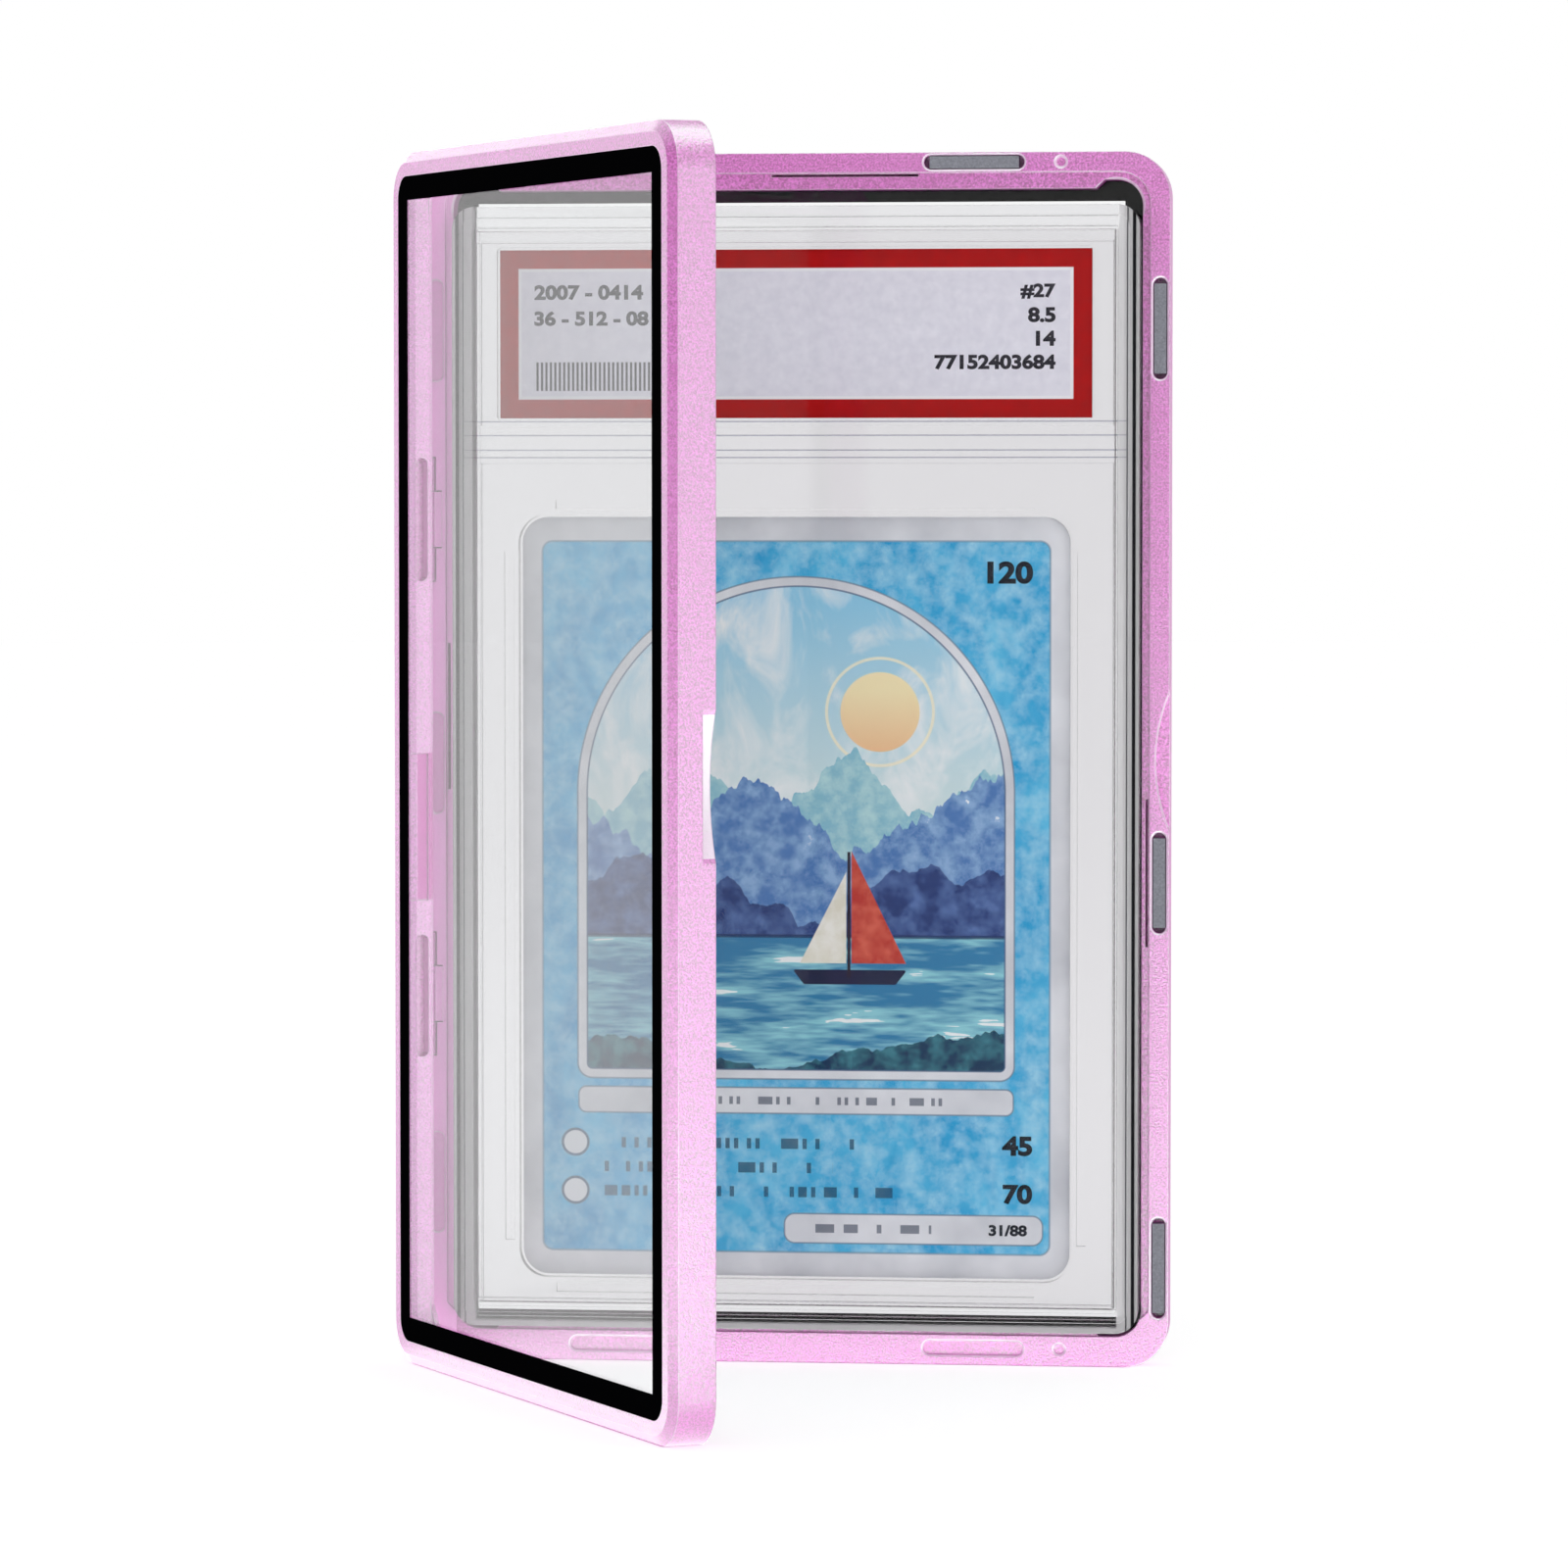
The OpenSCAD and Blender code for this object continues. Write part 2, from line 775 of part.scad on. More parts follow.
// Flex grooves above, below and beside the card's pocket
module flex_grooves() {
    offset_x = card_w / 2 + paper_gap + flex_gap + flex_w / 2;
    offset_y = card_h / 2 + paper_gap + flex_gap + flex_w / 2;
    for (s = [-1, 1]) {
        translate([0, s * offset_y])
            square([card_w - 2 * flex_end, flex_w], center = true);
        translate([s * offset_x, 0])
            square([flex_w, card_h - 2 * flex_end], center = true);
    }
}

// Pocket with a shelf at height z for a sheet of width w and height h and corner radius r
module paper_pocket(w, h, r, z) {
    pocket_r = r + paper_gap;
    translate([0, 0, z])
        linear_extrude(insert_t)
            rounded(w + 2 * paper_gap, -h / 2 - paper_gap, h / 2 + paper_gap, pocket_r);
    translate([0, 0, -cut])
        linear_extrude(insert_t + 2 * cut)
            square([w - 2 * shelf_w, h - 2 * shelf_w], center = true);
}

module card_insert_frame() {
    color("#eef0f2")
        as_slab()
            difference() {
                translate([-insert_w / 2, slab_wall + insert_gap, insert_z])
                    cube([insert_w, insert_h, insert_t]);
                translate([0, card_mid_y, insert_z])
                    paper_pocket(card_w, card_h, card_corner_r, card_shelf);
                translate([0, label_mid_y, insert_z])
                    paper_pocket(label_w, label_h, paper_gap, label_shelf);
                translate([0, card_mid_y, insert_z + insert_t - flex_d])
                    linear_extrude(flex_d + cut)
                        flex_grooves();
            }
}

module slab_label() {
    color("#f2f2f6")
        as_slab()
            translate([-label_w / 2, label_mid_y - label_h / 2, insert_z + label_shelf + shelf_gap])
                cube([label_w, label_h, label_t]);
}

module trading_card() {
    color("#59a9d4")
        as_slab()
            translate([0, card_mid_y, insert_z + card_shelf + shelf_gap])
                linear_extrude(card_t)
                    rounded(card_w, -card_h / 2, card_h / 2, card_corner_r);
}

tray_frame();
back_window();
back_window_border();
door_frame();
front_window();
front_window_border();
for (i = [0 : len(MAGNETS) - 1]) {
    as_tray() magnet(MAGNETS[i]);
    as_door() magnet(MAGNETS[i]);
}
for (i = [0 : len(HINGES) - 1]) {
    tray_leaf(HINGES[i][1]);
    door_leaf(HINGES[i][1]);
    hinge_pin(HINGES[i][1]);
}
slab_back_shell();
slab_front_shell();
card_insert_frame();
slab_label();
trading_card();
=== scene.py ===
"""Looks of a magnetic display case for one graded trading card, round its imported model."""

import json
import math

import bmesh
import bpy
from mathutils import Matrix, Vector


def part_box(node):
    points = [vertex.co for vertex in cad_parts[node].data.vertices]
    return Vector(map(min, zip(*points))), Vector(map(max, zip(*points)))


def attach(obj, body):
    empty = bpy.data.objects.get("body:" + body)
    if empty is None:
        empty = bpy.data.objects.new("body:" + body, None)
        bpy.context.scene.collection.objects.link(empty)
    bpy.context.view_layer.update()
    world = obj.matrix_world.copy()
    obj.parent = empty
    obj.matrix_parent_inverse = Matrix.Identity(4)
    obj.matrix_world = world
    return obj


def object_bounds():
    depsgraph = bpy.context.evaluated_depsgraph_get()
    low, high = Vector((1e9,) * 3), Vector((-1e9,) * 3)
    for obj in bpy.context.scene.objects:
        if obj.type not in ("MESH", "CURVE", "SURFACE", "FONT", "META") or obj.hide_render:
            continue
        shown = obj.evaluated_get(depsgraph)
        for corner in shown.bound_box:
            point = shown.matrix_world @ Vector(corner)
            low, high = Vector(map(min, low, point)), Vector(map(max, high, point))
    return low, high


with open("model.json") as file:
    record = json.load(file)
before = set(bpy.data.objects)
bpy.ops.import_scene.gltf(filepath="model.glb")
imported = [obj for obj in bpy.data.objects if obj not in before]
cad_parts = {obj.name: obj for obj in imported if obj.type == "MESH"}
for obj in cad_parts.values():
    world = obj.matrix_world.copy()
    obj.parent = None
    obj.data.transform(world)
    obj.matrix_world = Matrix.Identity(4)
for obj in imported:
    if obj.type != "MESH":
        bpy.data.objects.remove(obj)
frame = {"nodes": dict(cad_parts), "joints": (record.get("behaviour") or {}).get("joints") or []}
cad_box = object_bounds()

MM = 0.001
HINGE = Vector(frame["joints"][0]["pos_m"])
TRAY_BODY = "tray"
DOOR_ANGLE = math.radians(60)

# Places on the metal: heights over the floor, and reach from the hinge line towards the free side
# The recess is where painted shade darkens the metal
RECESS_HEIGHTS = (53.8 * MM, 70.8 * MM)
RECESS_REACH = (1.0 * MM, 8.0 * MM)
RECESS_DEPTHS = (0.0, 2.2 * MM)
# The thumb notch's wall gets a painted highlight
NOTCH_HEIGHTS = (61.9 * MM, 78.1 * MM)
NOTCH_REACH = (83.8 * MM, 85.6 * MM)
INNER_WALL_REACH = (1.0 * MM, 84.0 * MM)
# The rim beside the hinges is where painted light makes the metal paler
HINGE_RIM_REACH = (-0.2 * MM, 3.4 * MM)
HINGE_RIM_DEPTHS = (-0.1 * MM, 1.2 * MM)
EDGE_RADIUS = 0.2 * MM

# Slab: radius of its edges, width of its milky welded wall, how many times lower that is along the bottom,
# the width over which it fades, and how far in from the sides two painted reflection lines lie
SLAB_EDGE_RADIUS = 0.15 * MM
SLAB_WALL = 2.4 * MM
SLAB_FOOT_SHARE = 4.0
SLAB_FADE = 0.1 * MM
INNER_LINE = (1.28 * MM, 1.44 * MM)
OUTER_LINE = (0.4 * MM, 0.8 * MM)
# Painted reflection lines across the slab: how far they lie below the label, half their width, and where they
# end
BAR_LINE_DROPS = (0.4 * MM, 2.0 * MM, 3.7 * MM, 4.55 * MM)
BAR_LINE_HALF = 0.08 * MM
BAR_LINE_END = (1.44 * MM, 1.5 * MM)

# Camera, fitted to the photograph: its place from the hinge plane, its pitch and its yaw
CAMERA_FROM_HINGE_PLANE = Vector((92.2, -791.25, 100.39)) * MM
CAMERA_PITCH = math.radians(-2.384)
CAMERA_YAW = math.radians(6.767)
CAMERA_LENS = 158.24
SENSOR_WIDTH = 36

# Printed sheets: thickness of a raised print and its gap from the paper
INK_T = 0.01 * MM
INK_GAP = 0.002 * MM
# Width of a figure as a share of the fount's own
FIGURE_WIDTH = 1.18
# How far the figures' outlines are moved out, to embolden them
FIGURE_BOLD = 0.042


def rgb(red, green, blue):
    """A colour given in sRGB from 0 to 255, as linear light."""
    def linear(value):
        share = value / 255
        return share / 12.92 if share <= 0.04045 else ((share + 0.055) / 1.055) ** 2.4
    return (linear(red), linear(green), linear(blue), 1.0)


class NodeTree:
    """Short calls for the nodes of a material or of the world."""

    def __init__(self, tree):
        self.nodes, self.links = tree.nodes, tree.links

    def put(self, socket, value):
        """Sets an input to a value, or links it to what a node gives."""
        if isinstance(value, bpy.types.NodeSocket):
            self.links.new(value, socket)
        else:
            socket.default_value = value

    def node(self, kind, inputs=None, **settings):
        """A new node. inputs gives values or sockets by the input's name or number."""
        made = self.nodes.new(kind)
        for name, value in settings.items():
            setattr(made, name, value)
        for key, value in (inputs or {}).items():
            self.put(made.inputs[key], value)
        return made

    def math(self, operation, a, b=0.0):
        return self.node("ShaderNodeMath", {0: a, 1: b}, operation=operation).outputs[0]

    def rays(self):
        """Light paths: those that see a surface itself, and those that light a surface behind glass."""
        path = self.node("ShaderNodeLightPath").outputs
        seen = self.math("MAXIMUM", path["Is Camera Ray"], path["Is Transmission Ray"])
        once = self.math("MINIMUM", path["Diffuse Depth"], 1.0)
        behind_glass = self.math("MULTIPLY", path["Is Transmission Ray"], once)
        return seen, behind_glass, path["Is Glossy Ray"]


class Finish(NodeTree):
    """A Principled material, with short calls for what its pattern needs."""

    def __init__(self, name, color, roughness, **sockets):
        self.material = bpy.data.materials.new(name)
        self.material.use_nodes = True
        super().__init__(self.material.node_tree)
        self.surface = self.nodes["Principled BSDF"]
        self.set("Base Color", color)
        self.set("Roughness", roughness)
        for socket, value in sockets.items():
            self.set(socket.replace("_", " "), value)

    def set(self, socket, value):
        """Sets a socket of the surface."""
        self.put(self.surface.inputs[socket], value)

    def place(self):
        """Where a point is in the frame at rest, as three sockets in metres."""
        coordinates = self.node("ShaderNodeTexCoord").outputs["Object"]
        return self.node("ShaderNodeSeparateXYZ", {0: coordinates}).outputs

    def noise(self, scale, detail=2.0, roughness=0.5, stretch=(1, 1, 1), distortion=0.0):
        coordinates = self.node("ShaderNodeTexCoord").outputs["Object"]
        stretched = self.node("ShaderNodeMapping", {"Vector": coordinates, "Scale": stretch}).outputs[0]
        settings = {"Vector": stretched, "Scale": scale, "Detail": detail, "Roughness": roughness}
        return self.node("ShaderNodeTexNoise", {**settings, "Distortion": distortion}).outputs["Fac"]

    def ramp(self, factor, low, high, start=0.0, end=1.0):
        """Maps factor from the range low..high to start..end, held at its ends."""
        inputs = {"Value": factor, "From Min": low, "From Max": high, "To Min": start, "To Max": end}
        return self.node("ShaderNodeMapRange", inputs).outputs[0]

    def mix(self, factor, a, b):
        """Colour a where factor is 0 and colour b where it is 1."""
        return self.node("ShaderNodeMix", {0: factor, 6: a, 7: b}, data_type="RGBA").outputs[2]

    def bump(self, height, distance, strength, normal=None):
        inputs = {"Height": height, "Distance": distance, "Strength": strength}
        if normal is not None:
            inputs["Normal"] = normal
        return self.node("ShaderNodeBump", inputs).outputs[0]

    def along(self, normal, direction):
        """How far a normal turns along a direction, from 0 to 1, whichever way it points."""
        inputs = {0: normal, 1: Vector(direction)}
        share = self.node("ShaderNodeVectorMath", inputs, operation="DOT_PRODUCT").outputs["Value"]
        return self.math("ABSOLUTE", share)

    def reach(self, direction):
        """Distance in metres from the hinge line's plane, along a level direction."""
        coordinates = self.node("ShaderNodeTexCoord").outputs["Object"]
        shift = self.node("ShaderNodeVectorMath", {0: coordinates, 1: HINGE}, operation="SUBTRACT")
        inputs = {0: shift.outputs[0], 1: Vector(direction)}
        return self.node("ShaderNodeVectorMath", inputs, operation="DOT_PRODUCT").outputs["Value"]

    def within(self, value, limits):
        """1 between two limits and 0 outside them."""
        above = self.math("GREATER_THAN", value, limits[0])
        return self.math("MULTIPLY", above, self.math("LESS_THAN", value, limits[1]))

    def product(self, *factors):
        total = factors[0]
        for factor in factors[1:]:
            total = self.math("MULTIPLY", total, factor)
        return total

    def rounded_normal(self, radius):
        """The normal as if every edge had this radius."""
        return self.node("ShaderNodeBevel", {"Radius": radius}, samples=6).outputs[0]

    def edges(self, rounded, low, high):
        """About 1 near sharp edges and 0 elsewhere, from how far a rounded normal turns."""
        flat = self.node("ShaderNodeNewGeometry").outputs["Normal"]
        inputs = {0: rounded, 1: flat}
        alike = self.node("ShaderNodeVectorMath", inputs, operation="DOT_PRODUCT").outputs["Value"]
        return self.ramp(self.math("SUBTRACT", 1.0, alike), low, high)


class Print(Finish):
    """A printed sheet. Places on it are in millimetres from the middle of its front face."""

    def __init__(self, name, node, paper, roughness):
        super().__init__(name, paper, roughness)
        low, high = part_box(node)
        x, _, z = self.place()
        self.u = self.millimetres(x, (low[0] + high[0]) / 2)
        self.v = self.millimetres(z, (low[2] + high[2]) / 2)
        self.ink = paper

    def millimetres(self, socket, middle):
        return self.math("MULTIPLY", self.math("SUBTRACT", socket, middle), 1 / MM)

    def near(self, socket, middle, reach):
        """Distance along one axis from a span of the given half length, negative inside it."""
        away = self.math("ABSOLUTE", self.math("SUBTRACT", socket, middle))
        return self.math("SUBTRACT", away, reach)

    def box(self, u, v, w, h, r=0.0):
        """Distance from a rectangle with round corners, negative inside it."""
        across = self.near(self.u, u, w / 2 - r)
        up = self.near(self.v, v, h / 2 - r)
        out_across = self.math("MAXIMUM", across, 0.0)
        out_up = self.math("MAXIMUM", up, 0.0)
        squares = self.math("ADD", self.math("POWER", out_across, 2.0), self.math("POWER", out_up, 2.0))
        inside = self.math("MINIMUM", self.math("MAXIMUM", across, up), 0.0)
        return self.math("SUBTRACT", self.math("ADD", self.math("SQRT", squares), inside), r)

    def disc(self, u, v, r):
        across = self.math("POWER", self.math("ABSOLUTE", self.math("SUBTRACT", self.u, u)), 2.0)
        up = self.math("POWER", self.math("ABSOLUTE", self.math("SUBTRACT", self.v, v)), 2.0)
        return self.math("SUBTRACT", self.math("SQRT", self.math("ADD", across, up)), r)

    def half(self, u, v, angle):
        """Distance over a line through a point; the side to the left of its direction is inside."""
        side = self.math("MULTIPLY", self.math("SUBTRACT", self.u, u), math.sin(math.radians(angle)))
        rise = self.math("MULTIPLY", self.math("SUBTRACT", self.v, v), -math.cos(math.radians(angle)))
        return self.math("ADD", side, rise)

    def ridge(self, base, height, spacing, seed, rough):
        """Distance over a line of hills: peaks at a spacing, made uneven by noise."""
        along = self.math("ADD", self.u, seed)
        peaks = self.math("DIVIDE", self.math("PINGPONG", along, spacing), spacing)
        scaled = self.math("ADD", self.math("MULTIPLY", self.u, 1 / spacing), seed)
        inputs = {"W": scaled, "Scale": 1.3, "Detail": 5.0, "Roughness": rough}
        uneven = self.node("ShaderNodeTexNoise", inputs, noise_dimensions="1D").outputs["Fac"]
        shape = self.math("ADD", self.math("MULTIPLY", peaks, 0.55), self.math("MULTIPLY", uneven, 0.9))
        top = self.math("ADD", self.math("MULTIPLY", shape, height), base)
        return self.math("SUBTRACT", self.v, top)

    def both(self, *distances):
        """Distance from what the shapes have in common."""
        total = distances[0]
        for distance in distances[1:]:
            total = self.math("MAXIMUM", total, distance)
        return total

    def either(self, *distances):
        total = distances[0]
        for distance in distances[1:]:
            total = self.math("MINIMUM", total, distance)
        return total

    def grown(self, distance, by):
        return self.math("SUBTRACT", distance, by)

    def outline(self, distance, width):
        """Distance from a line of this width round a shape's edge."""
        return self.math("SUBTRACT", self.math("ABSOLUTE", distance), width / 2)

    def paint(self, distance, color, amount=1.0, soft=0.04):
        """Prints a colour inside a shape. amount may be a share or a socket."""
        mask = self.ramp(distance, soft, -soft)
        self.ink = self.mix(self.math("MULTIPLY", mask, amount), self.ink, color)

    def stripes(self, shape, pitch):
        """Even upright bars in a shape, each half as wide as the pitch."""
        wave = self.math("PINGPONG", self.u, pitch / 2)
        return self.both(shape, self.math("SUBTRACT", wave, pitch / 4))

    def bars(self, shape, width, seed, share):
        """Upright bars in a shape, each cell of the width inked or not at random."""
        cell = self.math("FLOOR", self.math("DIVIDE", self.math("ADD", self.u, seed), width))
        chance = self.node("ShaderNodeTexWhiteNoise", {"W": cell}, noise_dimensions="1D").outputs["Value"]
        empty = self.math("SUBTRACT", self.math("GREATER_THAN", chance, share), 0.5)
        return self.both(shape, empty)

    def finished(self, back):
        """Puts the print on the front and the edges, and the colour given on the back face."""
        normal = self.node("ShaderNodeTexCoord").outputs["Normal"]
        inputs = {0: normal, 1: Vector((0, 1, 0))}
        turned = self.node("ShaderNodeVectorMath", inputs, operation="DOT_PRODUCT").outputs["Value"]
        self.set("Base Color", self.mix(self.math("GREATER_THAN", turned, 0.5), self.ink, back))
        return self


def dress(nodes, finish):
    """Gives a finish to CAD nodes."""
    for name in nodes:
        materials = frame["nodes"][name].data.materials
        materials.clear()
        materials.append(finish.material)


class Anodised(Finish):
    """Bead-blasted aluminium under a pink dye. outward is the way that the half's outer face looks, and
    across the way from the hinge to its free side."""

    def __init__(self, name, outward, across):
        super().__init__(name, rgb(218, 98, 194), 0.36, IOR=2.2)
        self.normal = self.node("ShaderNodeTexCoord").outputs["Normal"]
        self.height = self.place()[2]
        self.far = self.reach(across)
        self.deepness = self.reach(outward)
        self.facing_out = self.along(self.normal, outward)
        self.sideways = self.ramp(self.along(self.normal, across), 0.8, 0.9)
        grain = self.noise(4200, 2.0, 0.6)
        rounded = self.rounded_normal(EDGE_RADIUS)
        recess = self.recess()
        hinge_rim = self.hinge_rim()

        # Painted shade darkens the recess, painted light makes the rim beside the hinges paler, and painted
        # highlights make cuts and edges palest
        dye_and_painted_light = self.mix(recess, self.dye(grain), rgb(196, 66, 166))
        dye_and_painted_light = self.mix(self.math("MULTIPLY", hinge_rim, 0.8), dye_and_painted_light, rgb(255, 190, 246))
        edge = self.math("MULTIPLY", self.edges(rounded, 0.005, 0.1), 0.75)
        painted_highlights = self.math("MAXIMUM", edge, self.cuts())
        self.set("Base Color", self.mix(painted_highlights, dye_and_painted_light, rgb(252, 214, 246)))
        self.set("Roughness", self.ramp(grain, 0.3, 0.7, 0.3, 0.42))
        self.set("Specular Tint", self.gloss_tint(recess, hinge_rim))
        self.set("Normal", self.bump(grain, 0.06 * MM, 0.9, rounded))

    def dye(self, grain):
        """The dye's own colour: speckled by the blasting, a little blotched and finely lined on the sides."""
        deep = self.mix(self.ramp(grain, 0.35, 0.65), rgb(178, 26, 148), rgb(248, 102, 229))
        blotch = self.ramp(self.noise(90, 2.0), 0.3, 0.7)
        tone = self.mix(self.math("MULTIPLY", blotch, 0.4), deep, rgb(216, 78, 191))
        upright = self.ramp(self.along(self.normal, (0, 0, 1)), 0.5, 0.3)
        passes = self.noise(2600, 2.0, 0.6, (0.02, 0.02, 1))
        lines = self.product(self.ramp(passes, 0.35, 0.7), upright, 0.1)
        return self.mix(lines, tone, rgb(240, 180, 228))

    def recess(self):
        """1 in the recess in the hinge side's wall, where painted shade darkens the metal."""
        place = self.product(self.within(self.height, RECESS_HEIGHTS), self.within(self.far, RECESS_REACH))
        return self.product(place, self.within(self.deepness, RECESS_DEPTHS), self.sideways)

    def hinge_rim(self):
        """1 on the flat rim beside the hinges, where painted light makes the metal paler."""
        flat = self.ramp(self.facing_out, 0.9, 0.95)
        place = self.product(flat, self.within(self.far, HINGE_RIM_REACH))
        return self.product(place, self.within(self.deepness, HINGE_RIM_DEPTHS))

    def cuts(self):
        """Painted highlights: high on 45 degree chamfers and on the thumb notch's wall."""
        slope = self.math("ABSOLUTE", self.math("SUBTRACT", self.facing_out, math.sqrt(0.5)))
        chamfer = self.ramp(slope, 0.05, 0.03)
        place = self.product(self.within(self.height, NOTCH_HEIGHTS), self.within(self.far, NOTCH_REACH))
        notch = self.product(place, self.sideways)
        return self.math("MULTIPLY", self.math("MAXIMUM", chamfer, notch), 0.9)

    def gloss_tint(self, recess, hinge_rim):
        """A cool gloss evens out the dye's red, less so on the inner walls and beside the hinges; in the
        recess a dimmer gloss is painted shade.
        """
        inner_wall = self.product(self.sideways, self.within(self.far, INNER_WALL_REACH))
        tint = self.mix(inner_wall, (0.38, 1.0, 0.57, 1.0), (0.74, 1.0, 0.86, 1.0))
        tint = self.mix(hinge_rim, tint, (1.0, 0.8, 0.95, 1.0))
        return self.mix(recess, tint, (0.6, 0.32, 0.56, 1.0))


def window_finish():
    finish = Finish("window_glass", rgb(250, 251, 251), 0.0, Transmission_Weight=1.0, IOR=1.38)
    finish.set("Roughness", finish.ramp(finish.noise(60, 3.0), 0.4, 0.8, 0.0, 0.02))
    return finish


def slab_finish(name, tint, face_roughness, wall):
    """Clear moulded plastic with slightly rounded edges. Its faces mirror less than its sides, and the
    welded walls, of the width given, are milky."""
    finish = Finish(name, tint, face_roughness, Transmission_Weight=1.0, IOR=1.49)
    normal = finish.node("ShaderNodeTexCoord").outputs["Normal"]
    face = finish.ramp(finish.along(normal, (0, 1, 0)), 0.4, 0.6)
    smudge = finish.ramp(finish.noise(60, 3.0), 0.4, 0.8, face_roughness, face_roughness + 0.02)
    finish.set("Roughness", finish.ramp(face, 0.0, 1.0, 0.06, smudge))
    finish.set("Specular Tint", finish.mix(face, (1.0, 1.0, 1.0, 1.0), (0.15, 0.15, 0.15, 1.0)))
    finish.set("Normal", finish.rounded_normal(SLAB_EDGE_RADIUS))
    if not wall:
        return finish
    low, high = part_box("slab_front_shell")
    x, _, z = finish.place()
    from_left = finish.math("SUBTRACT", x, low[0])
    from_right = finish.math("SUBTRACT", high[0], x)
    depth = finish.math("MINIMUM", from_left, from_right)
    rise = finish.math("MULTIPLY", finish.math("SUBTRACT", z, low[2]), SLAB_FOOT_SHARE)
    milky = finish.math("MINIMUM", depth, rise)
    finish.set("Transmission Weight", finish.ramp(milky, wall, wall + SLAB_FADE, 0.64, 1.0))
    # Painted reflection lines: a grey line and a dark line along the sides, and faint grey lines across the
    # slab below the label
    painted_reflection_lines = finish.mix(finish.within(depth, INNER_LINE), tint, rgb(105, 106, 110))
    label_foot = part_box("slab_label")[0][2]
    for drop in BAR_LINE_DROPS:
        height = label_foot - drop
        line = finish.within(z, (height - BAR_LINE_HALF, height + BAR_LINE_HALF))
        between = finish.product(line, finish.ramp(depth, *BAR_LINE_END))
        painted_reflection_lines = finish.mix(between, painted_reflection_lines, rgb(216, 216, 222))
    finish.set("Base Color", finish.mix(finish.within(depth, OUTER_LINE), painted_reflection_lines, rgb(50, 50, 54)))
    return finish


def border_finish():
    finish = Finish("border_black", rgb(4, 4, 5), 0.6)
    grain = finish.noise(5000)
    finish.set("Roughness", finish.ramp(grain, 0.3, 0.7, 0.55, 0.75))
    finish.set("Specular IOR Level", 0.0)
    return finish


def magnet_finish():
    finish = Finish("magnet_nickel", rgb(150, 154, 162), 0.5, Metallic=0.6)
    grain = finish.noise(4200, 4.0, 0.7)
    speckle = finish.mix(finish.ramp(grain, 0.3, 0.7), rgb(144, 147, 157), rgb(187, 189, 199))
    finish.set("Base Color", speckle)
    finish.set("Normal", finish.bump(grain, 0.02 * MM, 0.4))
    return finish


def steel_finish():
    finish = Finish("hinge_steel", rgb(205, 206, 210), 0.3, Metallic=1.0)
    brush = finish.noise(900, 3.0, 0.6, (1, 1, 12))
    finish.set("Roughness", finish.ramp(brush, 0.3, 0.7, 0.22, 0.4))
    return finish


def label_finish():
    """Printed paper: a red border, a thin white line inside it, pale paper and a row of bars in front."""
    sheet = Print("label_paper", "slab_label", rgb(222, 221, 232), 0.6)
    sheet.set("Specular IOR Level", 0.1)
    fibres = sheet.noise(700, 4.0, 0.7)
    sheet.ink = sheet.mix(sheet.ramp(fibres, 0.35, 0.7), rgb(228, 227, 238), rgb(240, 239, 248))
    edge = sheet.box(0, 0, 68, 19.4)
    red = sheet.mix(sheet.ramp(fibres, 0.35, 0.7), rgb(170, 6, 10), rgb(190, 13, 16))
    sheet.paint(sheet.outline(edge, 5.0), rgb(246, 246, 250))
    sheet.paint(sheet.outline(edge, 4.3), red)
    plain = sheet.ink
    code = sheet.box(-21, -4.9, 18, 3.3)
    sheet.paint(sheet.stripes(code, 0.52), rgb(34, 32, 44))
    return sheet.finished(plain)


